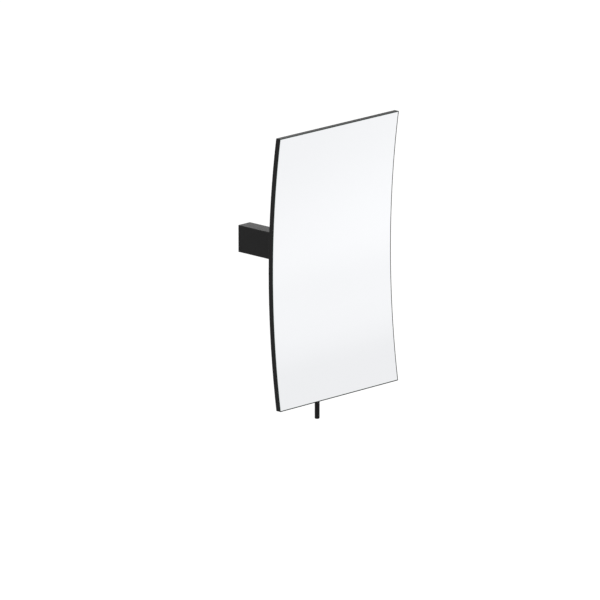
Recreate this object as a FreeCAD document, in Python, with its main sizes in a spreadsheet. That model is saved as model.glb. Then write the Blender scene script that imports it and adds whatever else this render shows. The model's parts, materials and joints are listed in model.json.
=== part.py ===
import FreeCAD, Part
import math
import os

import Sketcher
from FreeCAD import Placement, Rotation, Vector

# Extendable shaving mirror on a two-stage telescopic wall arm.
# Frame: origin at the centre of the wall bracket's back face, +Y into the wall,
# +Z up, the mirror faces -Y. "Reach" is a distance out from the wall, along -Y.
# Millimetres throughout, modelled with the arm fully pushed in.

doc = FreeCAD.newDocument("shaving_mirror")
sheet = doc.addObject("Spreadsheet::Sheet", "dims")

SIZES = [
    ("sleeve_width", 20, "outer sleeve, across"),
    ("sleeve_height", 33, "outer sleeve, upright"),
    ("sleeve_wall", 1.5, "wall of the sleeve, and of the inner arm tube"),
    ("sleeve_length", 92, "outer sleeve, out from the wall"),
    ("middle_wall", 1.25, "wall of the middle tube"),
    ("tube_gap", 0.75, "space between two telescoping tubes, filled by the glides"),
    ("tube_edge", 0.6, "rounding of the long outer edges of the tubes"),
    ("stage_travel", 50, "travel of each telescopic stage"),
    ("stop_gap", 0.3, "space left at either end of a stage's travel"),
    ("glide_length", 12, "depth of a front glide inside its tube"),
    ("glide_lip", 0.8, "thickness of a glide's end lip"),
    ("glide_play", 0.1, "running space between a glide and the tube in it"),
    ("mouth_step", 0.2, "how far the middle tube stands out of the sleeve's glide"),
    ("bracket_depth", 17, "wall bracket, out from the wall"),
    ("wall_screw_spacing", 15, "between the two wall screw holes"),
    ("wall_screw_hole", 4.5, "diameter of a wall screw hole"),
    ("wall_screw_head", 8.4, "diameter of the recess for the screw head"),
    ("wall_screw_seat", 5, "thickness of the bracket under the screw heads"),
    ("lock_screw_size", 3, "diameter of every grub screw"),
    ("lock_key_size", 1.7, "key socket of a grub screw, across its corners"),
    ("lock_key_depth", 1.5, "depth of a grub screw's key socket"),
    ("lock_screw_length", 4.6, "length of the sleeve's lock screws"),
    ("lock_screw_spread", 9, "between the two lock screws"),
    ("lock_screw_recess", 0.4, "lock screws below the sleeve's underside"),
    ("grub_recess", 0.6, "grub screws below the end of a yoke ear"),
    ("tilt_reach", 105.2, "tilt axis, out from the wall"),
    ("tilt_pin_size", 5, "diameter of the tilt pin"),
    ("tilt_thread_size", 4, "diameter of the tilt pin's threaded end"),
    ("pin_head_size", 7, "diameter of the tilt pin's head"),
    ("cap_nut_size", 7.8, "tilt pin's cap nut, across its corners"),
    ("cap_dome_size", 6, "diameter of the cap nut's dome"),
    ("cap_dome_depth", 1.4, "height of the cap nut's dome"),
    ("cap_dome_edge", 1.2, "rounding of the cap nut's dome"),
    ("pin_key_depth", 1.3, "depth of the key socket in the tilt pin"),
    ("pin_key_size", 2.9, "key socket in the tilt pin, across its corners"),
    ("pin_head_depth", 2.2, "thickness of the tilt pin's head"),
    ("pin_head_edge", 0.5, "chamfer on the tilt pin's head"),
    ("running_fit", 0.06, "radial play of the tilt pin and of the rod"),
    ("disc_size", 15, "diameter of a friction washer"),
    ("disc_play", 0.05, "between a friction washer and the tongue"),
    ("tongue_radius", 8, "rounded end of the tilt tongue"),
    ("tongue_width", 11.5, "inner arm tube and tilt tongue, across"),
    ("collar_depth", 3.1, "collar between the tongue and the inner arm tube"),
    ("collar_play", 0.5, "collar narrower than the middle tube's bore"),
    ("shank_depth", 15, "plug of the end fitting inside the inner arm tube"),
    ("cross_pin_size", 2, "diameter of the cross pins"),
    ("cross_pin_spacing", 11, "between the cross pins"),
    ("fork_gap", 13, "between the cheeks of the tilt head"),
    ("fork_radius", 10, "rounded end of the cheeks"),
    ("fork_floor", 8.4, "from the tilt axis to the bottom of the fork"),
    ("rod_reach", 120.4, "rod axis, out from the wall"),
    ("rod_size", 6, "diameter of the handle rod"),
    ("rod_drop", 200, "lower end of the rod, below the arm's centre"),
    ("rod_chamfer", 0.6, "chamfer on the rod's ends"),
    ("rod_room", 0.5, "between the rod and the head's bore"),
    ("rod_head_room", 2.2, "rod above the upper ear"),
    ("ring_size", 9, "diameter of the retaining ring"),
    ("ring_depth", 0.6, "thickness of the retaining ring"),
    ("ring_groove", 5, "diameter of the rod inside the ring"),
    ("ring_gap", 4, "gap in the retaining ring"),
    ("bush_size", 9, "outer diameter of the swivel bushes"),
    ("bush_depth", 9, "depth of a bush in the head"),
    ("flange_size", 13, "diameter of a bush flange"),
    ("flange_depth", 0.8, "thickness of a bush flange"),
    ("ear_play", 0.2, "between a bush flange and a yoke ear"),
    ("ear_depth", 5, "thickness of a yoke ear"),
    ("ear_radius", 8, "rounded end of a yoke ear"),
    ("ear_foot", 26, "width of a yoke ear where it meets the plate"),
    ("ear_fillet", 1.5, "fillet at the foot of a yoke ear, and round the plate"),
    ("ear_edge", 0.6, "rounding of a yoke ear's outer edges"),
    ("yoke_size", 60, "width and height of the yoke plate"),
    ("yoke_depth", 2.5, "thickness of the yoke plate at its middle"),
    ("yoke_corner", 6, "corner radius of the yoke plate"),
    ("stud_size", 3, "diameter of the clinch studs"),
    ("stud_spread", 44, "between the studs, across"),
    ("stud_rise", 40, "between the studs, upright"),
    ("stud_head_size", 4.8, "diameter of a stud's head in the tray"),
    ("stud_head_depth", 1, "thickness of a stud's head"),
    ("stud_head_seat", 0.15, "stud's head below the inside of the tray"),
    ("stud_proud", 1.5, "stud beyond its nut"),
    ("washer_size", 7, "diameter of a stud washer"),
    ("washer_depth", 0.5, "thickness of a stud washer"),
    ("nut_size", 6.35, "stud nut, across its corners"),
    ("nut_depth", 2.4, "thickness of a stud nut"),
    ("mirror_width", 200, "tray, across"),
    ("mirror_height", 328.5, "tray, upright"),
    ("mirror_radius", 1079, "concave curve of the mirror, up and down"),
    ("mirror_reach", 157.2, "front edges of the mirror, out from the wall"),
    ("mirror_drop", 1.5, "centre of the mirror below the centre of the arm"),
    ("tray_depth", 6.6, "total thickness of the mirror"),
    ("tray_floor", 1.6, "thickness of the tray's back"),
    ("tray_rim", 0.6, "thickness of the tray's rim"),
    ("tray_corner", 0.7, "rounding of the tray's four corners"),
    ("tray_edge", 0.4, "rounding round the tray's back"),
    ("glass_depth", 4, "thickness of the glass"),
    ("glass_recess", 0.1, "glass below the front of the rim"),
    ("glass_play", 0.2, "between the glass and the rim"),
    ("glass_arris", 0.3, "ground edge round the face of the glass"),
    ("pad_width", 16, "width of an adhesive pad"),
    ("pad_height", 300, "height of an adhesive pad"),
    ("pad_spacing", 50, "between the adhesive pads"),
    ("overlap", 1, "how far a feature runs into its neighbour, or a cut past its edge"),
]
for row, (alias, value, meaning) in enumerate(SIZES, 1):
    sheet.set(f"A{row}", alias)
    sheet.set(f"B{row}", str(value))
    sheet.setAlias(f"B{row}", alias)
    sheet.set(f"C{row}", meaning)
doc.recompute()

# Sizes that follow from the driving ones.
CAVITY_WIDTH = "(dims.sleeve_width - 2 * dims.sleeve_wall)"
CAVITY_HEIGHT = "(dims.sleeve_height - 2 * dims.sleeve_wall)"
MIDDLE_WIDTH = f"({CAVITY_WIDTH} - 2 * dims.tube_gap)"
MIDDLE_HEIGHT = f"({CAVITY_HEIGHT} - 2 * dims.tube_gap)"
BORE_WIDTH = f"({MIDDLE_WIDTH} - 2 * dims.middle_wall)"
BORE_HEIGHT = f"({MIDDLE_HEIGHT} - 2 * dims.middle_wall)"
INNER_WIDTH = f"({BORE_WIDTH} - 2 * dims.tube_gap)"
INNER_HEIGHT = f"({BORE_HEIGHT} - 2 * dims.tube_gap)"
PLUG_WIDTH = f"({INNER_WIDTH} - 2 * dims.sleeve_wall)"
PLUG_HEIGHT = f"({INNER_HEIGHT} - 2 * dims.sleeve_wall)"
PLAY = "2 * dims.glide_play"

MIDDLE_REAR = "(dims.bracket_depth + dims.stop_gap + dims.glide_lip)"
MIDDLE_FRONT = "(dims.sleeve_length + dims.glide_lip + dims.mouth_step)"
INNER_REAR = f"({MIDDLE_REAR} + dims.glide_lip)"
INNER_FRONT = f"({MIDDLE_FRONT} + dims.glide_lip + dims.stop_gap)"
COLLAR = (f"({BORE_WIDTH} - dims.collar_play)", BORE_HEIGHT)

HEAD_FACE = "dims.sleeve_height / 2"
EAR_INSIDE = f"({HEAD_FACE} + dims.flange_depth + dims.ear_play)"
EAR_OUTSIDE = f"({EAR_INSIDE} + dims.ear_depth)"
ROD_TO_TILT = "(dims.rod_reach - dims.tilt_reach)"

# Depths into the mirror, measured along the curve's radius from its front surface.
CURVE_CENTRE = "sqrt(dims.mirror_radius^2 - (dims.mirror_height / 2)^2)"
GLASS_FRONT = "(dims.mirror_radius + dims.glass_recess)"
GLASS_BACK = f"({GLASS_FRONT} + dims.glass_depth)"
TRAY_BACK = "(dims.mirror_radius + dims.tray_depth)"
TRAY_INSIDE = f"({TRAY_BACK} - dims.tray_floor)"
BACK_REACH = f"(dims.mirror_reach + {CURVE_CENTRE} - {TRAY_BACK})"
INSIDE_REACH = f"(dims.mirror_reach + {CURVE_CENTRE} - {TRAY_INSIDE})"
YOKE_REACH = f"({BACK_REACH} - dims.yoke_depth)"

ALONG_X = Rotation(Vector(0, 1, 0), 90)
OUT_FROM_WALL = Rotation(Vector(1, 0, 0), 90)
UPRIGHT = Rotation()
FRONT_VIEW, SIDE_VIEW, TOP_VIEW = "XZ_Plane", "YZ_Plane", "XY_Plane"


def size(expression):
    """Current value of an expression over the sheet."""
    value = sheet.evalExpression(str(expression))
    return float(getattr(value, "Value", value))


def bind(target, **expressions):
    for name, expression in expressions.items():
        target.setExpression(name.replace("__", "."), str(expression))


def place(target, x=0, y=0, z=0, turn=UPRIGHT):
    """Give an object its placement, each coordinate bound to the sheet."""
    target.Placement = Placement(Vector(size(x), size(y), size(z)), turn)
    bind(target, Placement__Base__x=x, Placement__Base__y=y, Placement__Base__z=z)
    return target


def new_body(label):
    body = doc.addObject("PartDesign::Body", label)
    body.Label = label
    return body


def sketch_on(body, plane, offset="0"):
    """Sketch on one of a body's origin planes, moved along its normal."""
    sketch = body.newObject("Sketcher::SketchObject", body.Name + "_sketch")
    support = next(item for item in body.Origin.OriginFeatures if item.Role == plane)
    sketch.AttachmentSupport = [(support, "")]
    sketch.MapMode = "FlatFace"
    bind(sketch, AttachmentOffset__Base__z=offset)
    return sketch


def hold(sketch, geometry, vertex, axis, expression):
    """Fix one coordinate of a vertex to an expression of either sign."""
    value = size(expression)
    kind = "Distance" + axis
    if abs(value) < 1e-9:
        axis_line = -2 if axis == "X" else -1
        sketch.addConstraint(Sketcher.Constraint("PointOnObject", geometry, vertex, axis_line))
        return
    if value > 0:
        row = sketch.addConstraint(Sketcher.Constraint(kind, -1, 1, geometry, vertex, value))
        bind(sketch, **{f"Constraints[{row}]": expression})
        return
    row = sketch.addConstraint(Sketcher.Constraint(kind, geometry, vertex, -1, 1, -value))
    bind(sketch, **{f"Constraints[{row}]": f"-({expression})"})


def add_arc(sketch, start, through, end):
    """Add an arc, anticlockwise as sketches hold them; return its vertex number at start."""
    circle = Part.Circle(start, through, end)
    clockwise = (through - start).cross(end - through).z < 0
    ends = (end, start) if clockwise else (start, end)
    angles = [math.atan2(p.y - circle.Center.y, p.x - circle.Center.x) for p in ends]
    full = Part.Circle(circle.Center, Vector(0, 0, 1), circle.Radius)
    sketch.addGeometry(Part.ArcOfCircle(full, *angles))
    return 2 if clockwise else 1


def outline(sketch, corners, arcs=()):
    """Closed outline through corners. arcs maps a corner's index to the round stretch that
    starts there: a point that it bulges through, and one coordinate of its centre."""
    arcs = dict(arcs)
    points = [Vector(size(x), size(y), 0) for x, y in corners]
    first = sketch.GeometryCount
    starts = []
    for index, start in enumerate(points):
        end = points[(index + 1) % len(points)]
        if index in arcs:
            through = Vector(*[size(part) for part in arcs[index][0]], 0)
            starts.append(add_arc(sketch, start, through, end))
        else:
            sketch.addGeometry(Part.LineSegment(start, end))
            starts.append(1)
    for index, (x, y) in enumerate(corners):
        after = (index + 1) % len(corners)
        row = Sketcher.Constraint(
            "Coincident", first + index, 3 - starts[index], first + after, starts[after])
        sketch.addConstraint(row)
        hold(sketch, first + index, starts[index], "X", x)
        hold(sketch, first + index, starts[index], "Y", y)
        if index in arcs:
            hold(sketch, first + index, 3, *arcs[index][1])


def rectangle(sketch, width, height):
    right, top = f"({width}) / 2", f"({height}) / 2"
    left, bottom = f"-({width}) / 2", f"-({height}) / 2"
    outline(sketch, [(left, bottom), (right, bottom), (right, top), (left, top)])


def circles(sketch, diameter, centres):
    for x, y in centres:
        middle = Vector(size(x), size(y), 0)
        ring = sketch.addGeometry(Part.Circle(middle, Vector(0, 0, 1), size(diameter) / 2))
        row = sketch.addConstraint(Sketcher.Constraint("Diameter", ring, size(diameter)))
        bind(sketch, **{f"Constraints[{row}]": diameter})
        hold(sketch, ring, 3, "X", x)
        hold(sketch, ring, 3, "Y", y)


def extrude(kind, sketch, length, both_ways=False, backwards=False):
    """Pad or pocket of a sketch; a pocket runs along the sketch's normal, as a pad does."""
    body = sketch.getParentGeoFeatureGroup()
    before = body.Shape.Volume if kind == "Pocket" else 0
    feature = body.newObject("PartDesign::" + kind, f"{body.Name}_{kind.lower()}")
    feature.Profile = sketch
    feature.SideType = "Symmetric" if both_ways else "One side"
    feature.Reversed = (kind == "Pocket") != backwards
    bind(feature, Length=length)
    doc.recompute()
    if kind == "Pocket" and body.Shape.Volume > before - 1e-3:
        raise ValueError(f"{feature.Name} cuts nothing")
    return feature


def dress(body, kind, amount, wanted):
    """Fillet or chamfer every edge of the body for which wanted(edge) is true."""
    base = body.Tip
    edges = [f"Edge{n}" for n, edge in enumerate(base.Shape.Edges, 1) if wanted(edge)]
    if not edges:
        raise ValueError(f"{body.Name} has no edge to dress")
    feature = body.newObject("PartDesign::" + kind, f"{body.Name}_{kind.lower()}")
    feature.Base = (base, edges)
    bind(feature, **{"Radius" if kind == "Fillet" else "Size": amount})
    doc.recompute()


def runs_along(direction):
    """Test for straight edges parallel to a direction."""
    def test(edge):
        if edge.Curve.TypeId != "Part::GeomLine":
            return False
        return edge.Curve.Direction.cross(direction).Length < 1e-6
    return test


def lies_at(axis, value):
    """Test for edges that lie wholly in a plane across an axis."""
    def test(edge):
        box = edge.BoundBox
        low, high = getattr(box, axis.upper() + "Min"), getattr(box, axis.upper() + "Max")
        return abs(low - value) < 1e-3 and abs(high - value) < 1e-3
    return test


def on_curve(radius):
    """Test for edges on a drum about the mirror's centre of curvature."""
    def test(edge):
        depths = [math.hypot(end.Point.y + size(CURVE_CENTRE), end.Point.z) for end in edge.Vertexes]
        return all(abs(depth - size(radius)) < 1e-3 for depth in depths)
    return test


def on_outline(width, height):
    """Test for the four corner edges of a rectangular tube, which run along Y."""
    along_y = runs_along(Vector(0, 1, 0))

    def test(edge):
        middle = edge.BoundBox.Center
        corner = abs(abs(middle.x) - size(width) / 2) + abs(abs(middle.z) - size(height) / 2)
        return along_y(edge) and corner < 1e-3
    return test


def block(body, width, height, start, length, kind="Pad"):
    """Rectangular pad or pocket centred on the arm, from one reach to another."""
    sketch = sketch_on(body, FRONT_VIEW, start)
    rectangle(sketch, width, height)
    extrude(kind, sketch, length)


def tube(label, width, height, wall, start, end):
    body = new_body(label)
    length = f"{end} - {start}"
    block(body, width, height, start, length)
    block(body, f"{width} - 2 * {wall}", f"{height} - 2 * {wall}", start, length, "Pocket")
    dress(body, "Fillet", "dims.tube_edge", on_outline(width, height))
    return body


def front_glide(label, outer, mouth, inner, start):
    """Plastic collar in a tube's mouth, with a lip that covers the tube's end."""
    body = new_body(label)
    width, height = outer
    block(body, width, height, f"{start} - dims.glide_length", "dims.glide_length")
    block(body, *mouth, start, "dims.glide_lip")
    running = [f"{side} + {PLAY}" for side in inner]
    whole = "dims.glide_length + dims.glide_lip"
    block(body, *running, f"{start} - dims.glide_length", whole, "Pocket")
    dress(body, "Fillet", "dims.tube_edge", on_outline(*mouth))
    return body


def rear_glide(label, outer, inner, wall, start, end):
    """Plastic collar around a tube's rear end, with a lip that covers the tube's wall."""
    body = new_body(label)
    running = [f"{side} - {PLAY}" for side in outer]
    passage = [f"{side} - 2 * {wall}" for side in inner]
    block(body, *running, f"{start} - dims.glide_lip", f"{end} - {start} + dims.glide_lip")
    block(body, *inner, start, f"{end} - {start}", "Pocket")
    block(body, *passage, f"{start} - dims.glide_lip", "dims.glide_lip", "Pocket")
    return body


def cylinder(name, diameter, length, x=0, y=0, z=0, turn=UPRIGHT):
    """Cylinder from a point along X, up, or out from the wall."""
    item = doc.addObject("Part::Cylinder", name)
    bind(item, Radius=f"({diameter}) / 2", Height=length)
    return place(item, x, y, z, turn)


def hex_bar(name, diameter, length, x=0, y=0, z=0, turn=UPRIGHT):
    """Hexagonal bar for a nut or a key socket, sized across its corners."""
    item = doc.addObject("Part::Prism", name)
    bind(item, Circumradius=f"({diameter}) / 2", Height=length)
    return place(item, x, y, z, turn)


def cut(base, tool, name=None):
    item = doc.addObject("Part::Cut", name or base.Name + "_cut")
    item.Base, item.Tool = base, tool
    return item


def group(label, items):
    """Several identical pieces in one sub-part."""
    item = doc.addObject("Part::Compound", label)
    item.Links = items
    item.Label = label
    return item


# ---- wall bracket and outer sleeve -------------------------------------------------

def wall_bracket():
    """Block on the wall with two counterbored screw holes, one above the other."""
    body = new_body("wall_bracket")
    block(body, CAVITY_WIDTH, CAVITY_HEIGHT, "0", "dims.bracket_depth")
    middles = [("0", f"{side} * dims.wall_screw_spacing / 2") for side in (-1, 1)]
    sketch = sketch_on(body, FRONT_VIEW, "dims.bracket_depth")
    circles(sketch, "dims.wall_screw_hole", middles)
    hole = body.newObject("PartDesign::Hole", "wall_bracket_hole")
    hole.Profile = sketch
    doc.recompute()
    hole.DepthType = "ThroughAll"
    hole.HoleCutType = "Counterbore"
    hole.HoleCutCustomValues = True
    bind(hole, Diameter="dims.wall_screw_hole", HoleCutDiameter="dims.wall_screw_head",
         HoleCutDepth="dims.bracket_depth - dims.wall_screw_seat")
    doc.recompute()
    screws = sketch_on(body, TOP_VIEW, f"-({CAVITY_HEIGHT}) / 2")
    circles(screws, "dims.lock_screw_size", lock_screw_centres())
    extrude("Pocket", screws, "dims.lock_screw_length + dims.lock_screw_recess - dims.sleeve_wall")
    return body


def lock_screw_centres():
    middle = "-dims.bracket_depth / 2"
    return [(f"{side} * dims.lock_screw_spread / 2", middle) for side in (-1, 1)]


def sleeve_lock_screws():
    screws = []
    bottom = "-dims.sleeve_height / 2 + dims.lock_screw_recess"
    for x, y in lock_screw_centres():
        rod = cylinder("lock_screw", "dims.lock_screw_size", "dims.lock_screw_length", x, y, bottom)
        key = hex_bar("lock_key", "dims.lock_key_size", "dims.lock_key_depth", x, y, bottom)
        screws.append(cut(rod, key))
    return group("sleeve_lock_screws", screws)


def outer_sleeve():
    body = tube("outer_sleeve", "dims.sleeve_width", "dims.sleeve_height",
                "dims.sleeve_wall", "0", "dims.sleeve_length")
    screws = sketch_on(body, TOP_VIEW, "-dims.sleeve_height / 2")
    circles(screws, "dims.lock_screw_size", lock_screw_centres())
    extrude("Pocket", screws, "dims.sleeve_wall")
    return body


# ---- telescopic stages ---------------------------------------------------------------

def arm_stages():
    """The two sliding tubes and the four glides that guide them."""
    cavity, middle = (CAVITY_WIDTH, CAVITY_HEIGHT), (MIDDLE_WIDTH, MIDDLE_HEIGHT)
    bore, inner = (BORE_WIDTH, BORE_HEIGHT), (INNER_WIDTH, INNER_HEIGHT)
    sleeve_mouth = ("dims.sleeve_width - dims.sleeve_wall", "dims.sleeve_height - dims.sleeve_wall")
    stop = "dims.glide_length - dims.stage_travel - dims.stop_gap"
    return [
        front_glide("sleeve_front_glide", cavity, sleeve_mouth, middle, "dims.sleeve_length"),
        tube("middle_tube", *middle, "dims.middle_wall", MIDDLE_REAR, MIDDLE_FRONT),
        rear_glide("middle_rear_glide", cavity, middle, "dims.middle_wall", MIDDLE_REAR,
                   f"(dims.sleeve_length - 2 * dims.glide_length + {stop})"),
        front_glide("middle_front_glide", bore, middle, inner, MIDDLE_FRONT),
        inner_arm_tube(),
        rear_glide("inner_rear_glide", bore, inner, "dims.sleeve_wall", INNER_REAR,
                   f"({MIDDLE_FRONT} - 2 * dims.glide_length + {stop})"),
    ]


def cross_pin_centres():
    """The pins lie half way along the plug, seen from the side."""
    reach = f"-({INNER_FRONT} - dims.shank_depth / 2)"
    return [(reach, f"{side} * dims.cross_pin_spacing / 2") for side in (-1, 1)]


def cross_pin_holes(body, shift="0"):
    centres = [(f"{y} + {shift}", z) for y, z in cross_pin_centres()]
    sketch = sketch_on(body, SIDE_VIEW)
    circles(sketch, "dims.cross_pin_size", centres)
    extrude("Pocket", sketch, INNER_WIDTH, both_ways=True)


def inner_arm_tube():
    body = tube("inner_arm_tube", INNER_WIDTH, INNER_HEIGHT, "dims.sleeve_wall",
                INNER_REAR, INNER_FRONT)
    cross_pin_holes(body)
    return body


def arm_end_pins():
    length = f"{INNER_WIDTH}"
    pins = [cylinder("cross_pin", "dims.cross_pin_size", length, f"-{INNER_WIDTH} / 2", y, z, ALONG_X)
            for y, z in cross_pin_centres()]
    return group("arm_end_pins", pins)


def arm_end_fitting():
    """Plug in the inner arm tube, collar that stops on the glide, tongue for the tilt pin."""
    body = place(new_body("arm_end_fitting"), y="-dims.tilt_reach")
    radius = "dims.tongue_radius"
    tongue = sketch_on(body, SIDE_VIEW)
    corners = [("0", radius), ("0", f"-{radius}"), (radius, f"-{radius}"), (radius, radius)]
    outline(tongue, corners, {0: ((f"-{radius}", "0"), ("X", "0"))})
    extrude("Pad", tongue, "dims.tongue_width", both_ways=True)
    behind = f"-dims.tilt_reach + {INNER_FRONT}"
    block(body, *COLLAR, behind, "dims.collar_depth")
    block(body, PLUG_WIDTH, PLUG_HEIGHT, f"{behind} - dims.shank_depth", "dims.shank_depth")
    bore = sketch_on(body, SIDE_VIEW)
    circles(bore, "dims.tilt_pin_size + 2 * dims.running_fit", [("0", "0")])
    extrude("Pocket", bore, "dims.tongue_width", both_ways=True)
    cross_pin_holes(body, "dims.tilt_reach")
    dress(body, "Fillet", "dims.tube_edge", on_outline(*COLLAR))
    return body


# ---- tilt head ---------------------------------------------------------------------

def tilt_head():
    """Forked block: round front about the rod, two cheeks about the tilt pin."""
    body = place(new_body("tilt_head"), y="-dims.tilt_reach")
    half, floor = "dims.sleeve_width / 2", "-dims.fork_floor"
    front = f"-({ROD_TO_TILT} + dims.sleeve_width / 2)"
    plan = sketch_on(body, TOP_VIEW)
    corners = [(half, floor), (f"-{half}", floor), (f"-{half}", f"-{ROD_TO_TILT}"),
               (half, f"-{ROD_TO_TILT}")]
    outline(plan, corners, {2: (("0", front), ("Y", f"-{ROD_TO_TILT}"))})
    extrude("Pad", plan, "dims.sleeve_height", both_ways=True)
    radius = "dims.fork_radius"
    cheek = sketch_on(body, SIDE_VIEW)
    root = f"{floor} - dims.overlap"
    corners = [("0", f"-{radius}"), ("0", radius), (root, radius), (root, f"-{radius}")]
    outline(cheek, corners, {0: ((radius, "0"), ("X", "0"))})
    extrude("Pad", cheek, "dims.sleeve_width", both_ways=True)
    slot = sketch_on(body, TOP_VIEW)
    side, behind = "dims.fork_gap / 2", "dims.fork_radius + dims.overlap"
    outline(slot, [(f"-{side}", floor), (side, floor), (side, behind), (f"-{side}", behind)])
    extrude("Pocket", slot, "dims.sleeve_height", both_ways=True)
    dress(body, "Fillet", "dims.tube_edge", head_rim)
    pin = sketch_on(body, SIDE_VIEW)
    circles(pin, "dims.tilt_pin_size", [("0", "0")])
    extrude("Pocket", pin, "dims.sleeve_width", both_ways=True)
    rod = sketch_on(body, TOP_VIEW)
    circles(rod, "dims.rod_size + 2 * dims.rod_room", [("0", f"-{ROD_TO_TILT}")])
    extrude("Pocket", rod, "dims.sleeve_height", both_ways=True)
    for start, downwards in ((HEAD_FACE, True), (f"-{HEAD_FACE}", False)):
        seat = sketch_on(body, TOP_VIEW, start)
        circles(seat, "dims.bush_size", [("0", f"-{ROD_TO_TILT}")])
        extrude("Pocket", seat, "dims.bush_depth", backwards=downwards)
    return body


def head_rim(edge):
    """Outer edges of the head: round its two end faces and round its two sides."""
    if lies_at("y", -size(ROD_TO_TILT))(edge):
        return False
    faces = [("z", size(HEAD_FACE)), ("x", size("dims.sleeve_width / 2"))]
    return any(lies_at(axis, side * reach)(edge) for axis, reach in faces for side in (-1, 1))


def swivel_bush(label, side):
    """Flanged bush pressed into the head from above (side 1) or below (side -1)."""
    body = place(new_body(label), y="-dims.rod_reach",
                 turn=Rotation(Vector(1, 0, 0), 0 if side > 0 else 180))
    sleeve = sketch_on(body, TOP_VIEW, f"{HEAD_FACE} - dims.bush_depth")
    circles(sleeve, "dims.bush_size", [("0", "0")])
    extrude("Pad", sleeve, "dims.bush_depth")
    flange = sketch_on(body, TOP_VIEW, HEAD_FACE)
    circles(flange, "dims.flange_size", [("0", "0")])
    extrude("Pad", flange, "dims.flange_depth")
    bore = sketch_on(body, TOP_VIEW, f"{HEAD_FACE} - dims.bush_depth")
    circles(bore, "dims.rod_size + 2 * dims.running_fit", [("0", "0")])
    extrude("Pocket", bore, "dims.bush_depth + dims.flange_depth")
    return body


def turned(label, profile, axis_role):
    """Body of revolution about X or Z; profile is (distance along the axis, radius)."""
    body = new_body(label)
    sketch = sketch_on(body, SIDE_VIEW if axis_role == "Z_Axis" else TOP_VIEW)
    if axis_role == "Z_Axis":
        profile = [(radius, along) for along, radius in profile]
    outline(sketch, profile)
    feature = body.newObject("PartDesign::Revolution", label + "_revolution")
    feature.Profile = sketch
    feature.ReferenceAxis = (next(
        item for item in body.Origin.OriginFeatures if item.Role == axis_role), [""])
    feature.Angle = 360
    doc.recompute()
    return body


def tilt_pin():
    """Shoulder pin from cheek to cheek, low head with a key socket, threaded end."""
    head, shank = "dims.pin_head_size / 2", "dims.tilt_pin_size / 2"
    thread, half = "dims.tilt_thread_size / 2", "dims.sleeve_width / 2"
    top, tail = f"{half} + dims.pin_head_depth", f"-{half} - dims.pin_head_depth"
    edge = "dims.pin_head_edge"
    body = turned("tilt_pin", [
        (tail, "0"), (tail, thread), (f"-{half}", thread), (f"-{half}", shank), (half, shank),
        (half, head), (f"{top} - {edge}", head), (top, f"{head} - {edge}"), (top, "0"),
    ], "X_Axis")
    place(body, y="-dims.tilt_reach")
    key = sketch_on(body, SIDE_VIEW, f"{top} - dims.pin_key_depth")
    hexagon(key, "dims.pin_key_size / 2")
    extrude("Pocket", key, "dims.pin_key_depth")
    return body


def hexagon(sketch, radius):
    corners = [(f"{radius} * cos({60 * n})", f"{radius} * sin({60 * n})") for n in range(6)]
    outline(sketch, corners)


def tilt_pin_nut():
    """Cap nut on the tilt pin's threaded end."""
    body = place(new_body("tilt_pin_nut"), y="-dims.tilt_reach")
    cheek = "-dims.sleeve_width / 2"
    blank = sketch_on(body, SIDE_VIEW, cheek)
    hexagon(blank, "dims.cap_nut_size / 2")
    extrude("Pad", blank, "dims.pin_head_depth", backwards=True)
    dome = sketch_on(body, SIDE_VIEW, f"{cheek} - dims.pin_head_depth")
    circles(dome, "dims.cap_dome_size", [("0", "0")])
    extrude("Pad", dome, "dims.cap_dome_depth", backwards=True)
    end = size(f"{cheek} - dims.pin_head_depth - dims.cap_dome_depth")
    dress(body, "Fillet", "dims.cap_dome_edge", lies_at("x", end))
    thread = sketch_on(body, SIDE_VIEW, cheek)
    circles(thread, "dims.tilt_thread_size", [("0", "0")])
    extrude("Pocket", thread, "dims.pin_head_depth", backwards=True)
    return body


def tilt_friction_washers():
    """One disc between each cheek and the tongue; a little play on the tongue's side."""
    washers = []
    inside = "(dims.tongue_width / 2 + dims.disc_play)"
    thickness = f"dims.fork_gap / 2 - {inside}"
    for start in (inside, "-dims.fork_gap / 2"):
        where = {"x": start, "y": "-dims.tilt_reach", "turn": ALONG_X}
        disc = cylinder("friction_disc", "dims.disc_size", thickness, **where)
        hole = cylinder("friction_hole", "dims.tilt_pin_size", thickness, **where)
        washers.append(cut(disc, hole))
    return group("tilt_friction_washers", washers)


# ---- handle rod and yoke -------------------------------------------------------------

def handle_rod():
    """Rod that the mirror swings on, long enough below it to be its handle."""
    edge, full, groove = "dims.rod_chamfer", "dims.rod_size / 2", "dims.ring_groove / 2"
    bottom, top = "-dims.rod_drop", f"{EAR_OUTSIDE} + dims.rod_head_room"
    ring = EAR_OUTSIDE
    body = turned("handle_rod", [
        (bottom, "0"), (bottom, f"{full} - {edge}"), (f"{bottom} + {edge}", full),
        (ring, full), (ring, groove), (f"{ring} + dims.ring_depth", groove),
        (f"{ring} + dims.ring_depth", full), (f"{top} - {edge}", full),
        (top, f"{full} - {edge}"), (top, "0"),
    ], "Z_Axis")
    return place(body, y="-dims.rod_reach")


def rod_retaining_ring():
    """Open snap ring in the rod's groove, above the upper ear; its gap faces the wall."""
    where = {"y": "-dims.rod_reach", "z": EAR_OUTSIDE}
    ring = cylinder("ring_blank", "dims.ring_size", "dims.ring_depth", **where)
    ring = cut(ring, cylinder("ring_hole", "dims.ring_groove", "dims.ring_depth", **where))
    gap = doc.addObject("Part::Box", "ring_gap")
    bind(gap, Length="dims.ring_gap", Width="dims.ring_size", Height="dims.ring_depth")
    place(gap, "-dims.ring_gap / 2", "-dims.rod_reach", EAR_OUTSIDE)
    ring = cut(ring, gap, "rod_retaining_ring")
    ring.Label = "rod_retaining_ring"
    return ring


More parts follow.
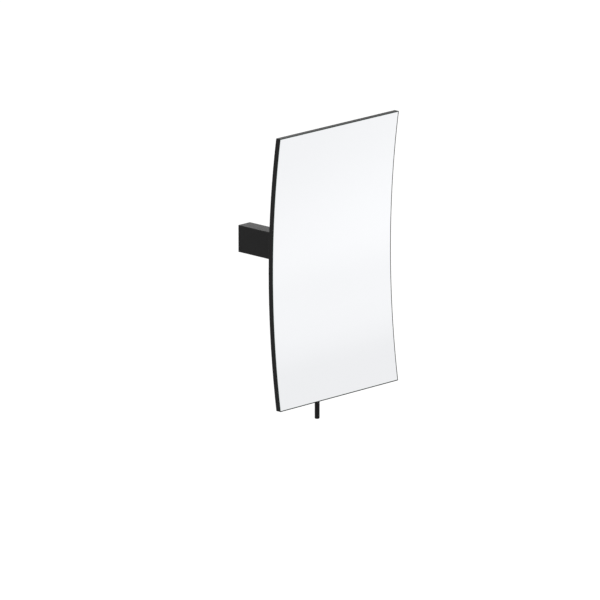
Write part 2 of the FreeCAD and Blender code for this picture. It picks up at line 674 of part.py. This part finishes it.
def mirror_body(label):
    """Body in the mirror's own frame: centred, y = 0 at the plane of its front edges."""
    return place(new_body(label), y="-dims.mirror_reach", z="-dims.mirror_drop")


def curved_band(body, front, back, half_height):
    """Side-view outline between two concentric arcs, with level top and bottom."""
    def depth(radius, rise):
        return f"(sqrt(({radius})^2 - ({rise})^2) - {CURVE_CENTRE})"
    front_edge, back_edge = depth(front, half_height), depth(back, half_height)
    sketch = sketch_on(body, SIDE_VIEW)
    top, bottom = f"({half_height})", f"-({half_height})"
    corners = [(front_edge, bottom), (front_edge, top), (back_edge, top), (back_edge, bottom)]
    centre = ("X", f"-{CURVE_CENTRE}")
    arcs = {0: ((depth(front, "0"), "0"), centre), 2: ((depth(back, "0"), "0"), centre)}
    outline(sketch, corners, arcs)
    return sketch


def stud_centres(drop="0"):
    return [(f"{side} * dims.stud_spread / 2", f"{up} * dims.stud_rise / 2 + {drop}")
            for side in (-1, 1) for up in (-1, 1)]


def mirror_yoke():
    """Plate that follows the tray's curved back, with an ear above and below the head."""
    body = mirror_body("mirror_yoke")
    plate_back = f"(dims.mirror_reach - {YOKE_REACH})"
    middle = "dims.mirror_drop"
    profile = sketch_on(body, FRONT_VIEW, f"-{plate_back}")
    half = "dims.yoke_size / 2"
    low, high = f"{middle} - {half}", f"{middle} + {half}"
    outline(profile, [(f"-{half}", low), (half, low), (half, high), (f"-{half}", high)])
    extrude("Pad", profile, "dims.yoke_depth + dims.overlap")
    dress(body, "Fillet", "dims.yoke_corner", runs_along(Vector(0, 1, 0)))
    tray = curved_band(body, f"{TRAY_BACK} - dims.tray_depth", TRAY_BACK, "dims.yoke_size")
    extrude("Pocket", tray, "dims.yoke_size + dims.overlap", both_ways=True)
    rod_depth = "(dims.mirror_reach - dims.rod_reach)"
    radius = "dims.ear_radius"
    for start in (EAR_INSIDE, f"-{EAR_OUTSIDE}"):
        ear = sketch_on(body, TOP_VIEW, f"{middle} + {start}")
        root = f"{plate_back} - dims.overlap"
        foot = "dims.ear_foot / 2"
        corners = [(radius, rod_depth), (f"-{radius}", rod_depth), (f"-{foot}", root), (foot, root)]
        outline(ear, corners, {0: (("0", f"{rod_depth} + {radius}"), ("Y", rod_depth))})
        extrude("Pad", ear, "dims.ear_depth")
    in_plate = lies_at("y", size(plate_back))
    for side in (-1, 1):
        end = lies_at("z", size(f"{middle} + {side} * {EAR_OUTSIDE}"))
        dress(body, "Fillet", "dims.ear_edge", lambda edge: end(edge) and not in_plate(edge))
    dress(body, "Fillet", "dims.ear_fillet", in_plate)
    bore = sketch_on(body, TOP_VIEW, middle)
    circles(bore, "dims.rod_size", [("0", rod_depth)])
    extrude("Pocket", bore, f"2 * {EAR_OUTSIDE}", both_ways=True)
    grub = sketch_on(body, FRONT_VIEW, f"-{rod_depth} - dims.ear_radius")
    rises = [("0", f"{middle} + {z}") for z in ear_middles()]
    circles(grub, "dims.lock_screw_size", rises)
    extrude("Pocket", grub, "dims.ear_radius")
    studs = sketch_on(body, FRONT_VIEW, f"-{plate_back}")
    circles(studs, "dims.stud_size", stud_centres(middle))
    extrude("Pocket", studs, "dims.yoke_depth + dims.overlap")
    return body


def ear_middles():
    return [f"{side} * ({EAR_INSIDE} + dims.ear_depth / 2)" for side in (-1, 1)]


def yoke_grub_screws():
    """Key-driven screws in the ears, from the wall side, that clamp the rod."""
    screws = []
    length = "dims.ear_radius - dims.rod_size / 2 - dims.grub_recess"
    tip = "dims.rod_reach - dims.rod_size / 2"
    for z in ear_middles():
        rear = f"-({tip} - ({length}))"
        rod = cylinder("grub_screw", "dims.lock_screw_size", length, 0, rear, z, OUT_FROM_WALL)
        key = hex_bar("grub_key", "dims.lock_key_size", "dims.lock_key_depth",
                      0, rear, z, OUT_FROM_WALL)
        screws.append(cut(rod, key))
    return group("yoke_grub_screws", screws)


# ---- mirror --------------------------------------------------------------------------

def back_tray():
    """Shallow curved tray: a back of even thickness and a thin rim all round."""
    body = mirror_body("back_tray")
    shell = curved_band(body, "dims.mirror_radius", TRAY_BACK, "dims.mirror_height / 2")
    extrude("Pad", shell, "dims.mirror_width", both_ways=True)
    dress(body, "Fillet", "dims.tray_corner", runs_along(Vector(0, 1, 0)))
    dress(body, "Fillet", "dims.tray_edge", on_curve(TRAY_BACK))
    inside = curved_band(body, "dims.mirror_radius - dims.tray_depth", TRAY_INSIDE,
                         "dims.mirror_height / 2 - dims.tray_rim")
    extrude("Pocket", inside, "dims.mirror_width - 2 * dims.tray_rim", both_ways=True)
    seat = f"(dims.mirror_reach - {INSIDE_REACH})"
    head_floor = f"({seat} + dims.stud_head_seat + dims.stud_head_depth)"
    holes = sketch_on(body, FRONT_VIEW, f"-{head_floor}")
    circles(holes, "dims.stud_head_size", stud_centres("dims.mirror_drop"))
    extrude("Pocket", holes, "dims.tray_depth")
    shanks = sketch_on(body, FRONT_VIEW, f"-{head_floor} - dims.tray_floor")
    circles(shanks, "dims.stud_size", stud_centres("dims.mirror_drop"))
    extrude("Pocket", shanks, "dims.tray_depth")
    return body


def mirror_glass():
    body = mirror_body("mirror_glass")
    rim = "dims.tray_rim + dims.glass_play"
    band = curved_band(body, GLASS_FRONT, GLASS_BACK, f"dims.mirror_height / 2 - ({rim})")
    extrude("Pad", band, f"dims.mirror_width - 2 * ({rim})", both_ways=True)
    dress(body, "Chamfer", "dims.glass_arris", on_curve(GLASS_FRONT))
    return body


def curve_cylinder(name, radius):
    """Drum about the mirror's centre of curvature, as long as the tray is wide."""
    centre = f"-(dims.mirror_reach + {CURVE_CENTRE})"
    return cylinder(name, f"2 * ({radius})", "dims.mirror_width", "-dims.mirror_width / 2",
                    centre, "-dims.mirror_drop", ALONG_X)


def adhesive_pads():
    """Upright foam strips that fill the space between the glass and the tray."""
    ring = cut(curve_cylinder("pad_back", TRAY_INSIDE), curve_cylinder("pad_front", GLASS_BACK))
    strips = []
    for place_across in (-1.5, -0.5, 0.5, 1.5):
        strip = doc.addObject("Part::Box", "pad_strip")
        bind(strip, Length="dims.pad_width", Width=f"dims.mirror_reach - {BACK_REACH}",
             Height="dims.pad_height")
        place(strip, f"{place_across} * dims.pad_spacing - dims.pad_width / 2",
              "-dims.mirror_reach", "-dims.mirror_drop - dims.pad_height / 2")
        strips.append(strip)
    pads = doc.addObject("Part::Common", "adhesive_pads")
    pads.Base, pads.Tool = ring, group("pad_strips", strips)
    pads.Label = "adhesive_pads"
    return pads


def on_studs(make):
    """One piece per stud: make(x, z) for each stud's centre."""
    return [make(x, z) for x, z in stud_centres()]


def bored(blank, name, depth, x, y, z):
    hole = cylinder(name, "dims.stud_size", depth, x, y, z, OUT_FROM_WALL)
    return cut(blank, hole)


def stud_hardware():
    """Clinch studs flush in the tray, each with a washer and a nut behind the yoke."""
    plate = f"-{YOKE_REACH}"
    washer_back = f"{plate} + dims.washer_depth"
    nut_back = f"{washer_back} + dims.nut_depth"
    head_front = f"-{INSIDE_REACH} + dims.stud_head_seat"

    def stud(x, z):
        head = cylinder("stud_head", "dims.stud_head_size", "dims.stud_head_depth",
                        x, f"{head_front} + dims.stud_head_depth", z, OUT_FROM_WALL)
        tail = f"{nut_back} + dims.stud_proud"
        shank = cylinder("stud_shank", "dims.stud_size", f"{tail} - ({head_front})",
                         x, tail, z, OUT_FROM_WALL)
        whole = doc.addObject("Part::Fuse", "stud")
        whole.Base, whole.Tool = head, shank
        return whole

    def washer(x, z):
        blank = cylinder("washer_blank", "dims.washer_size", "dims.washer_depth",
                         x, washer_back, z, OUT_FROM_WALL)
        return bored(blank, "washer_hole", "dims.washer_depth", x, washer_back, z)

    def nut(x, z):
        where = (x, nut_back, z, OUT_FROM_WALL)
        bevel = doc.addObject("Part::Cone", "nut_bevel")
        flats = "dims.nut_size / 2 * cos(30)"
        bind(bevel, Radius1=flats, Radius2=f"{flats} + dims.nut_depth * tan(60)",
             Height="dims.nut_depth")
        blank = doc.addObject("Part::Common", "nut_blank")
        blank.Base = hex_bar("nut_bar", "dims.nut_size", "dims.nut_depth", *where)
        blank.Tool = place(bevel, *where)
        return bored(blank, "nut_hole", "dims.nut_depth", x, nut_back, z)

    return [group("tray_studs", on_studs(stud)), group("stud_washers", on_studs(washer)),
            group("stud_nuts", on_studs(nut))]


# ---- build, check and write ------------------------------------------------------------

subparts = [
    wall_bracket(), sleeve_lock_screws(), outer_sleeve(), *arm_stages(),
    arm_end_fitting(), arm_end_pins(), tilt_head(), tilt_pin(), tilt_pin_nut(),
    tilt_friction_washers(), swivel_bush("upper_bush", 1), swivel_bush("lower_bush", -1),
    handle_rod(), rod_retaining_ring(), mirror_yoke(), yoke_grub_screws(),
    back_tray(), *stud_hardware(), adhesive_pads(), mirror_glass(),
]
doc.recompute()

for item in doc.Objects:
    if "Invalid" in item.State or "Error" in item.State:
        raise RuntimeError(f"{item.Name} did not recompute: {item.State}")
for item in subparts:
    if item.Shape.isNull() or not item.Shape.isValid():
        raise RuntimeError(f"{item.Label} has no valid shape")

os.makedirs("parts", exist_ok=True)
for item in subparts:
    item.Shape.exportStep(f"parts/{item.Label}.step")
    box = item.Shape.BoundBox
    print(f"{item.Label:24s} solids {len(item.Shape.Solids)}  volume {item.Shape.Volume:10.1f}"
          f"  x {box.XMin:7.1f} {box.XMax:7.1f}  y {box.YMin:7.1f} {box.YMax:7.1f}"
          f"  z {box.ZMin:7.1f} {box.ZMax:7.1f}")
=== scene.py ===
import json
import math

import bmesh
import bpy
from mathutils import Matrix, Vector


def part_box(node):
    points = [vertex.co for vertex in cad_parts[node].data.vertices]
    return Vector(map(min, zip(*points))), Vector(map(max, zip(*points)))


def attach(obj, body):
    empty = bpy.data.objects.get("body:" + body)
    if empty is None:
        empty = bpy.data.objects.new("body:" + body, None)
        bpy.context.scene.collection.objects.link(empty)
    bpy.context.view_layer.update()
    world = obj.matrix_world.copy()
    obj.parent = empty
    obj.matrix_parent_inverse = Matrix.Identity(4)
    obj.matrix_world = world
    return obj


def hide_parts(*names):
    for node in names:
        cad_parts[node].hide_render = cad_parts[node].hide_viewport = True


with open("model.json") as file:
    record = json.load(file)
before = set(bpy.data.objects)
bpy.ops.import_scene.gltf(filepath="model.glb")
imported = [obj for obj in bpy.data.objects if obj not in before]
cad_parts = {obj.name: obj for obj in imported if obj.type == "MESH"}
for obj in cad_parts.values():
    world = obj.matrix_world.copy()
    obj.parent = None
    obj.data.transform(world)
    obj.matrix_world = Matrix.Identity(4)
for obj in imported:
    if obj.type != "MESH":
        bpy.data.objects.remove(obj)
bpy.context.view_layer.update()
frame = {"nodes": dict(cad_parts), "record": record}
nodes = frame["nodes"]

MM = 0.001

# ---- node helpers --------------------------------------------------------------------


class Tree:
    """A material's node tree with short calls for the nodes that the finishes use."""

    def __init__(self, name):
        self.material = bpy.data.materials.new(name)
        self.material.use_nodes = True
        self.nodes = self.material.node_tree.nodes
        self.links = self.material.node_tree.links
        self.shader = self.nodes["Principled BSDF"]
        coordinates = self.nodes.new("ShaderNodeTexCoord")
        self.where = coordinates.outputs["Object"]
        self.facing = coordinates.outputs["Normal"]

    def link(self, value, socket):
        """Give a socket a constant or another node's output."""
        if isinstance(value, bpy.types.NodeSocket):
            self.links.new(value, socket)
        else:
            socket.default_value = value

    def stretched(self, scale):
        """Object position scaled per axis, for grain that runs one way."""
        node = self.nodes.new("ShaderNodeMapping")
        node.inputs["Scale"].default_value = scale
        self.links.new(self.where, node.inputs["Vector"])
        return node.outputs["Vector"]

    def noise(self, scale, detail=3.0, roughness=0.55, vector=None):
        node = self.nodes.new("ShaderNodeTexNoise")
        node.inputs["Scale"].default_value = scale
        node.inputs["Detail"].default_value = detail
        node.inputs["Roughness"].default_value = roughness
        self.links.new(vector or self.where, node.inputs["Vector"])
        return node.outputs["Fac"]

    def cells(self, scale):
        node = self.nodes.new("ShaderNodeTexVoronoi")
        node.inputs["Scale"].default_value = scale
        self.links.new(self.where, node.inputs["Vector"])
        return node.outputs["Distance"]

    def spread(self, value, low, high, start=0.0, end=1.0):
        """Map a value from one range to another, clamped."""
        node = self.nodes.new("ShaderNodeMapRange")
        self.link(value, node.inputs["Value"])
        node.inputs["From Min"].default_value = start
        node.inputs["From Max"].default_value = end
        node.inputs["To Min"].default_value = low
        node.inputs["To Max"].default_value = high
        return node.outputs["Result"]

    def maths(self, operation, first, second):
        node = self.nodes.new("ShaderNodeMath")
        node.operation = operation
        self.link(first, node.inputs[0])
        self.link(second, node.inputs[1])
        return node.outputs["Value"]

    def mix(self, share, low, high):
        """Blend two colours."""
        node = self.nodes.new("ShaderNodeMix")
        node.data_type = "RGBA"
        self.link(share, node.inputs["Factor"])
        self.link(low, node.inputs["A"])
        self.link(high, node.inputs["B"])
        return node.outputs["Result"]

    def part_of(self, output, axis):
        node = self.nodes.new("ShaderNodeSeparateXYZ")
        self.links.new(output, node.inputs["Vector"])
        return node.outputs[axis]

    def edges(self, low=0.52, high=0.62):
        """1 along convex edges, 0 on flat faces."""
        node = self.nodes.new("ShaderNodeNewGeometry")
        return self.spread(node.outputs["Pointiness"], 0.0, 1.0, low, high)

    def bump(self, height, depth):
        node = self.nodes.new("ShaderNodeBump")
        node.inputs["Distance"].default_value = depth
        node.inputs["Strength"].default_value = 1.0
        self.links.new(height, node.inputs["Height"])
        self.links.new(node.outputs["Normal"], self.shader.inputs["Normal"])

    def set(self, **sockets):
        for name, value in sockets.items():
            self.link(value, self.shader.inputs[name.replace("_", " ")])


def grey(level, blue=1.02):
    return (level, level, level * blue, 1.0)


# ---- finishes ------------------------------------------------------------------------

# Noise scales are in features per metre, or per metre along X, Y and Z. Depths are in metres.
MOTTLE, WEAR, GRAIN, ORANGE_PEEL = 45.0, 160.0, 2600.0, 900.0
PEEL_DEPTH = 0.03 * MM
RUB_MARKS = (2200.0, 14.0, 2200.0)
RUB_DEPTH = 0.006 * MM
TUBE_CLOUDS = 60.0
BRUSHED = (1500.0, 1500.0, 60.0)
CAST = (900.0, 900.0, 900.0)
DULL_PATCHES = 180.0
LINE_DEPTH = 0.004 * MM
FLOW_MARKS, SPARK_ERODED = 120.0, 1800.0
SPARK_DEPTH = 0.012 * MM
BUBBLES = 2400.0
BUBBLE_DEPTH = 0.08 * MM
HAZE, GROUND_EDGE, EDGE_SPARKLE, BACK_PAINT = 14.0, 1500.0, 700.0, 300.0
FLOOR_CLOUDS = 1.2

SILVER_LOW, SILVER_HIGH = (0.800, 0.807, 0.822, 1.0), (0.808, 0.815, 0.830, 1.0)
EDGE_LOW, EDGE_HIGH = (0.16, 0.24, 0.21, 1.0), (0.26, 0.36, 0.32, 1.0)
NYLON_LOW, NYLON_HIGH = (0.62, 0.58, 0.5, 1.0), (0.72, 0.69, 0.62, 1.0)
ZINC, PLATED, BLACKENED = (0.46, 0.46, 0.47), (0.5, 0.5, 0.48), (0.035, 0.035, 0.038)


def powder_coat(name, level, roughness, specular, peel=1.0):
    """Matte black powder coat: orange peel, mottling, paler specks, edges rubbed smoother and
    lighter in colour, the lighter edges partly wear and partly a painted highlight.
    """
    tree = Tree(name)
    mottle = tree.noise(MOTTLE, 4.0)
    # Mask along convex edges: it makes them smoother, and lighter in colour as partly wear, partly a
    # painted highlight.
    edge_wear_and_sheen = tree.maths("MULTIPLY", tree.edges(), tree.noise(WEAR, 2.0))
    grain = tree.noise(GRAIN, 2.0)
    cloud = tree.mix(mottle, grey(level * 0.85), grey(level * 1.15))
    speck = tree.spread(grain, 0.0, 0.5, 0.55, 0.75)
    base = tree.mix(speck, cloud, grey(level * 3.0))
    # Lighter colour along the edges: partly wear, partly a painted highlight.
    tree.set(Base_Color=tree.mix(tree.maths("MULTIPLY", edge_wear_and_sheen, 0.35), base, grey(level * 2.4)))
    even = tree.spread(grain, roughness - 0.04, roughness + 0.04)
    tree.set(Roughness=tree.maths("SUBTRACT", even, tree.maths("MULTIPLY", edge_wear_and_sheen, 0.12)))
    tree.set(Specular_IOR_Level=specular)
    skin = tree.maths("ADD", tree.noise(ORANGE_PEEL, 2.0), tree.maths("MULTIPLY", grain, 0.35))
    tree.bump(skin, PEEL_DEPTH * peel)
    return tree.material


def sliding_tube(name):
    """Satin black tube with hairline rub marks along its travel."""
    tree = Tree(name)
    rub = tree.noise(1.0, 3.0, vector=tree.stretched(RUB_MARKS))
    mark = tree.spread(rub, 0.0, 1.0, 0.58, 0.75)
    base = tree.mix(tree.noise(TUBE_CLOUDS), grey(0.012), grey(0.018))
    tree.set(Base_Color=tree.mix(tree.maths("MULTIPLY", mark, 0.4), base, grey(0.06)))
    tree.set(Roughness=tree.spread(rub, 0.28, 0.42), Specular_IOR_Level=0.35)
    tree.bump(rub, RUB_DEPTH)
    return tree.material


def metal(name, colour, roughness, brushed=BRUSHED, dark=0.75):
    """Bare or plated metal with fine machining lines and slightly dull patches."""
    tree = Tree(name)
    lines = tree.noise(1.0, 3.0, vector=tree.stretched(brushed))
    patches = tree.noise(DULL_PATCHES, 3.0)
    low = tuple(part * dark for part in colour) + (1.0,)
    tree.set(Base_Color=tree.mix(patches, low, colour + (1.0,)), Metallic=1.0)
    uneven = tree.maths("ADD", tree.spread(lines, -0.08, 0.08), tree.spread(patches, -0.05, 0.05))
    tree.set(Roughness=tree.maths("ADD", uneven, roughness))
    tree.bump(lines, LINE_DEPTH)
    return tree.material


def moulded(name, low, high, roughness=0.5):
    """Moulded plastic with a fine spark-eroded skin."""
    tree = Tree(name)
    tree.set(Base_Color=tree.mix(tree.noise(FLOW_MARKS), low, high))
    skin = tree.noise(SPARK_ERODED, 2.0)
    tree.set(Roughness=tree.spread(skin, roughness - 0.06, roughness + 0.06))
    tree.bump(skin, SPARK_DEPTH)
    return tree.material


def foam(name):
    """Closed-cell foam tape with small bubbles all over."""
    tree = Tree(name)
    bubbles = tree.cells(BUBBLES)
    tree.set(Base_Color=tree.mix(bubbles, grey(0.62, 0.97), grey(0.8, 0.98)), Roughness=0.9)
    tree.bump(bubbles, BUBBLE_DEPTH)
    return tree.material


def mirror_glass_finish(name):
    """Silvered face, ground edge with a green cast, grey protective paint on the back."""
    tree = Tree(name)
    facing = tree.part_of(tree.facing, "Y")
    face = tree.spread(facing, 1.0, 0.0, -0.9, -0.8)
    back = tree.spread(facing, 0.0, 1.0, 0.8, 0.9)
    haze = tree.noise(HAZE, 4.0)
    edge = tree.mix(tree.noise(EDGE_SPARKLE), EDGE_LOW, EDGE_HIGH)
    paint = tree.mix(tree.noise(BACK_PAINT), grey(0.16), grey(0.2))
    plain = tree.mix(back, edge, paint)
    silver = tree.mix(haze, SILVER_LOW, SILVER_HIGH)
    tree.set(Base_Color=tree.mix(face, plain, silver), Metallic=face)
    ground = tree.spread(tree.noise(GROUND_EDGE), 0.25, 0.4)
    clean = tree.spread(haze, 0.0, 0.012, 0.45, 0.75)
    dull = tree.maths("MULTIPLY", ground, tree.maths("SUBTRACT", 1.0, face))
    tree.set(Roughness=tree.maths("ADD", dull, tree.maths("MULTIPLY", clean, face)))
    return tree.material


def pale_floor(name):
    """Plain pale floor with the faintest mottling."""
    tree = Tree(name)
    tree.set(Base_Color=tree.mix(tree.noise(FLOOR_CLOUDS), grey(0.855, 1.0), grey(0.865, 1.0)))
    tree.set(Roughness=1.0, Specular_IOR_Level=0.0)
    return tree.material


FINISHES = {
    "arm_paint": powder_coat("arm_powder_coat", level=0.0044, roughness=0.48, specular=0.1),
    "tray_paint": powder_coat("tray_powder_coat", level=0.0044, roughness=0.48, specular=0.1),
    "rod_paint": powder_coat("rod_powder_coat", level=0.004, roughness=0.42, specular=0.1, peel=0.6),
    "tube_finish": sliding_tube("tube_satin_black"),
    "zinc_casting": metal("zinc_casting", ZINC, roughness=0.42, brushed=CAST),
    "bare_steel": metal("zinc_plated_steel", PLATED, roughness=0.26, dark=0.6),
    "black_screw": metal("black_oxide_steel", BLACKENED, roughness=0.36),
    "glide_plastic": moulded("black_acetal", grey(0.014), grey(0.02), roughness=0.42),
    "washer_plastic": moulded("natural_nylon", NYLON_LOW, NYLON_HIGH),
    "foam_pad": foam("white_foam_tape"),
    "mirror_face": mirror_glass_finish("silvered_glass"),
}
SLOTS = {part["node"]: part["material_slot"] for part in frame["record"]["subparts"]}
for name, slot in SLOTS.items():
    mesh = nodes[name].data
    mesh.materials.clear()
    mesh.materials.append(FINISHES[slot])

# ---- threaded studs ------------------------------------------------------------------

THREAD_PITCH = 0.5 * MM
THREAD_DEPTH = 0.3 * MM
PITCH_STEPS = 8
TURN_STEPS = 24
STUD_RADIUS = 1.5 * MM
STUD_HEAD = 1.0 * MM
HEAD_EDGE = 0.1 * MM
STUD_TIP = 0.3 * MM
TIP_DOME = ((0.6, 0.86), (1.0, 0.62))
SHARP_EDGE = math.radians(50)


def ring_of(shape, middle, reach, radius_at):
    """Ring of vertices round a line along Y, its radius given for each angle."""
    ring = []
    for step in range(TURN_STEPS):
        angle = 2 * math.pi * step / TURN_STEPS
        radius = radius_at(angle)
        place = (middle.x + radius * math.sin(angle), reach, middle.z + radius * math.cos(angle))
        ring.append(shape.verts.new(place))
    return ring


def thread_radius(reach, angle, start, end, radius):
    """Radius of a rounded V thread at a reach and angle; it runs out at both ends."""
    phase = (reach / THREAD_PITCH - angle / (2 * math.pi)) % 1.0
    groove = 0.5 + 0.5 * math.cos(2 * math.pi * phase)
    fade = min(1.0, (end - reach) / THREAD_PITCH, (reach - start) / THREAD_PITCH)
    return radius - THREAD_DEPTH * groove * max(fade, 0.0)


def add_stud(shape, middle, head_radius, start, end):
    """Clinch stud: low head in the tray, then a shank with a rolled thread and a domed tip."""
    shoulder, last = start + STUD_HEAD, end - STUD_TIP
    plain = [(start, head_radius - HEAD_EDGE), (start + HEAD_EDGE, head_radius),
             (shoulder, head_radius), (shoulder, STUD_RADIUS)]
    rings = [ring_of(shape, middle, reach, lambda angle: radius) for reach, radius in plain]
    steps = math.ceil((last - shoulder) / (THREAD_PITCH / PITCH_STEPS))
    for step in range(1, steps + 1):
        reach = shoulder + (last - shoulder) * step / steps
        rings.append(ring_of(shape, middle, reach, lambda angle: thread_radius(
            reach, angle, shoulder, last, STUD_RADIUS)))
    for rise, share in TIP_DOME:
        reach = last + STUD_TIP * rise
        rings.append(ring_of(shape, middle, reach, lambda angle: STUD_RADIUS * share))
    for low, high in zip(rings, rings[1:]):
        for step in range(TURN_STEPS):
            after = (step + 1) % TURN_STEPS
            shape.faces.new((low[step], high[step], high[after], low[after]))
    shape.faces.new(rings[0])
    shape.faces.new(list(reversed(rings[-1])))


def quarter(node, side, up):
    """Lowest and highest corner of what a node has in one quarter, left or right, above or below."""
    points = [v.co for v in nodes[node].data.vertices if v.co.x * side > 0 and v.co.z * up > 0]
    low = Vector(min(point[axis] for point in points) for axis in range(3))
    high = Vector(max(point[axis] for point in points) for axis in range(3))
    return low, high


def new_piece(name, shape, body, node):
    """Finished piece from a bmesh: it stands for a CAD node and takes that node's finish."""
    mesh = bpy.data.meshes.new(name)
    bmesh.ops.recalc_face_normals(shape, faces=shape.faces)
    shape.to_mesh(mesh)
    shape.free()
    mesh.materials.append(FINISHES[SLOTS[node]])
    mesh.shade_smooth()
    mesh.set_sharp_from_angle(angle=SHARP_EDGE)
    piece = bpy.data.objects.new(name, mesh)
    bpy.context.scene.collection.objects.link(piece)
    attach(piece, body)
    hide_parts(node)


def threaded_studs():
    """Four studs, each where the CAD model has one."""
    shape = bmesh.new()
    for side in (-1, 1):
        for up in (-1, 1):
            low, high = quarter("tray_studs", side, up)
            add_stud(shape, (low + high) / 2, (high.x - low.x) / 2, low.y, high.y)
    new_piece("threaded_studs", shape, "mirror", "tray_studs")


threaded_studs()

# ---- stage: floor, lights and camera -------------------------------------------------

# Two softboxes stand behind and above the part. Each has a name, a place and a power.
SOFTBOX_AIM = (0, -0.1, 0)
SOFTBOX_SIZE = 1.0
SOFTBOXES = (
    ("back_softbox_right", (0.56, 1.28, 0.8), 9.0),
    ("back_softbox_left", (-1.0, 1.15, 0.66), 5.0),
)
# Two spots shine straight down on the floor in front of the part and to its right, where
# the mirror shows their pools. Each has a name, a place, a half angle and a power.
POOLS = (
    ("front_pool_near", (3.87, -2.15), 0.287, 195.0),
    ("front_pool_far", (6.57, -2.5), 0.78, 250.0),
)
POOL_RISE = 4.8
POOL_LAMP = 0.3
FLOOR_DROP = 1.2
FLOOR_REACH = 40.0
# The surroundings reach the overhead level where a direction's Z is OVERHEAD_START.
HORIZON_LEVEL, OVERHEAD_LEVEL, OVERHEAD_START = 1.05, 1.25, 0.5

# The camera stands to the left of the mirror and above it. Lens and sensor are in
# millimetres. Its distance, and how far left of and below the mirror's middle it aims,
# are in widths of the mirror.
VIEW_LEFT, VIEW_ABOVE = math.radians(45.78), math.radians(14.59)
LENS, SENSOR = 527.8, 36.0
CAMERA_DISTANCE, CAMERA_ASIDE, CAMERA_BELOW = 51.62, 0.2332, 0.2282
FAR_CLIP = 100.0


def add_floor():
    """Level floor far below the wall-hung part."""
    mesh = bpy.data.meshes.new("studio_floor")
    shape = bmesh.new()
    bmesh.ops.create_grid(shape, x_segments=8, y_segments=8, size=FLOOR_REACH)
    shape.to_mesh(mesh)
    shape.free()
    floor = bpy.data.objects.new("studio_floor", mesh)
    floor.location.z = -FLOOR_DROP
    mesh.materials.append(pale_floor("studio_floor"))
    bpy.context.scene.collection.objects.link(floor)


def add_world():
    """White surroundings, brighter overhead than at the horizon."""
    world = bpy.data.worlds.new("studio")
    bpy.context.scene.world = world
    world.use_nodes = True
    nodes, links = world.node_tree.nodes, world.node_tree.links
    direction = nodes.new("ShaderNodeTexCoord").outputs["Generated"]
    height = nodes.new("ShaderNodeSeparateXYZ")
    strength = nodes.new("ShaderNodeMapRange")
    strength.inputs["From Max"].default_value = OVERHEAD_START
    strength.inputs["To Min"].default_value = HORIZON_LEVEL
    strength.inputs["To Max"].default_value = OVERHEAD_LEVEL
    background = nodes["Background"]
    background.inputs["Color"].default_value = (1.0, 1.0, 1.0, 1.0)
    links.new(direction, height.inputs["Vector"])
    links.new(height.outputs["Z"], strength.inputs["Value"])
    links.new(strength.outputs["Result"], background.inputs["Strength"])


def add_light(name, kind, place, target, energy, **settings):
    """Light at a place that points at a target."""
    data = bpy.data.lights.new(name, kind)
    data.energy = energy
    for key, value in settings.items():
        setattr(data, key, value)
    light = bpy.data.objects.new(name, data)
    light.visible_camera = False
    light.location = place
    light.rotation_mode = "QUATERNION"
    light.rotation_quaternion = (Vector(target) - Vector(place)).to_track_quat("-Z", "Y")
    bpy.context.scene.collection.objects.link(light)


def add_camera():
    """Long lens from the front left, a little above, turned to place the mirror off centre."""
    low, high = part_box("back_tray")
    width = high.x - low.x
    middle = Vector(((low.x + high.x) / 2, low.y, (low.z + high.z) / 2))
    right = Vector((math.cos(VIEW_LEFT), -math.sin(VIEW_LEFT), 0.0))
    ahead = Vector((math.sin(VIEW_LEFT) * math.cos(VIEW_ABOVE),
                    math.cos(VIEW_LEFT) * math.cos(VIEW_ABOVE), -math.sin(VIEW_ABOVE)))
    up = right.cross(ahead)
    aside, below, distance = CAMERA_ASIDE * width, CAMERA_BELOW * width, CAMERA_DISTANCE * width
    data = bpy.data.cameras.new("camera")
    data.lens, data.sensor_width = LENS, SENSOR
    data.clip_end = FAR_CLIP
    camera = bpy.data.objects.new("camera", data)
    bpy.context.scene.collection.objects.link(camera)
    turn = Matrix((right, up, -ahead)).transposed().to_4x4()
    place = middle - right * aside - up * below - ahead * distance
    camera.matrix_world = Matrix.Translation(place) @ turn
    bpy.context.scene.camera = camera


add_floor()
add_world()
for name, place, power in SOFTBOXES:
    add_light(name, "AREA", place, SOFTBOX_AIM, power, shape="SQUARE", size=SOFTBOX_SIZE)
for name, (x, y), half_angle, power in POOLS:
    add_light(name, "SPOT", (x, y, POOL_RISE), (x, y, -FLOOR_DROP), power,
              spot_size=2 * half_angle, spot_blend=1.0, shadow_soft_size=POOL_LAMP)
add_camera()
bpy.context.scene.view_settings.view_transform = "Standard"
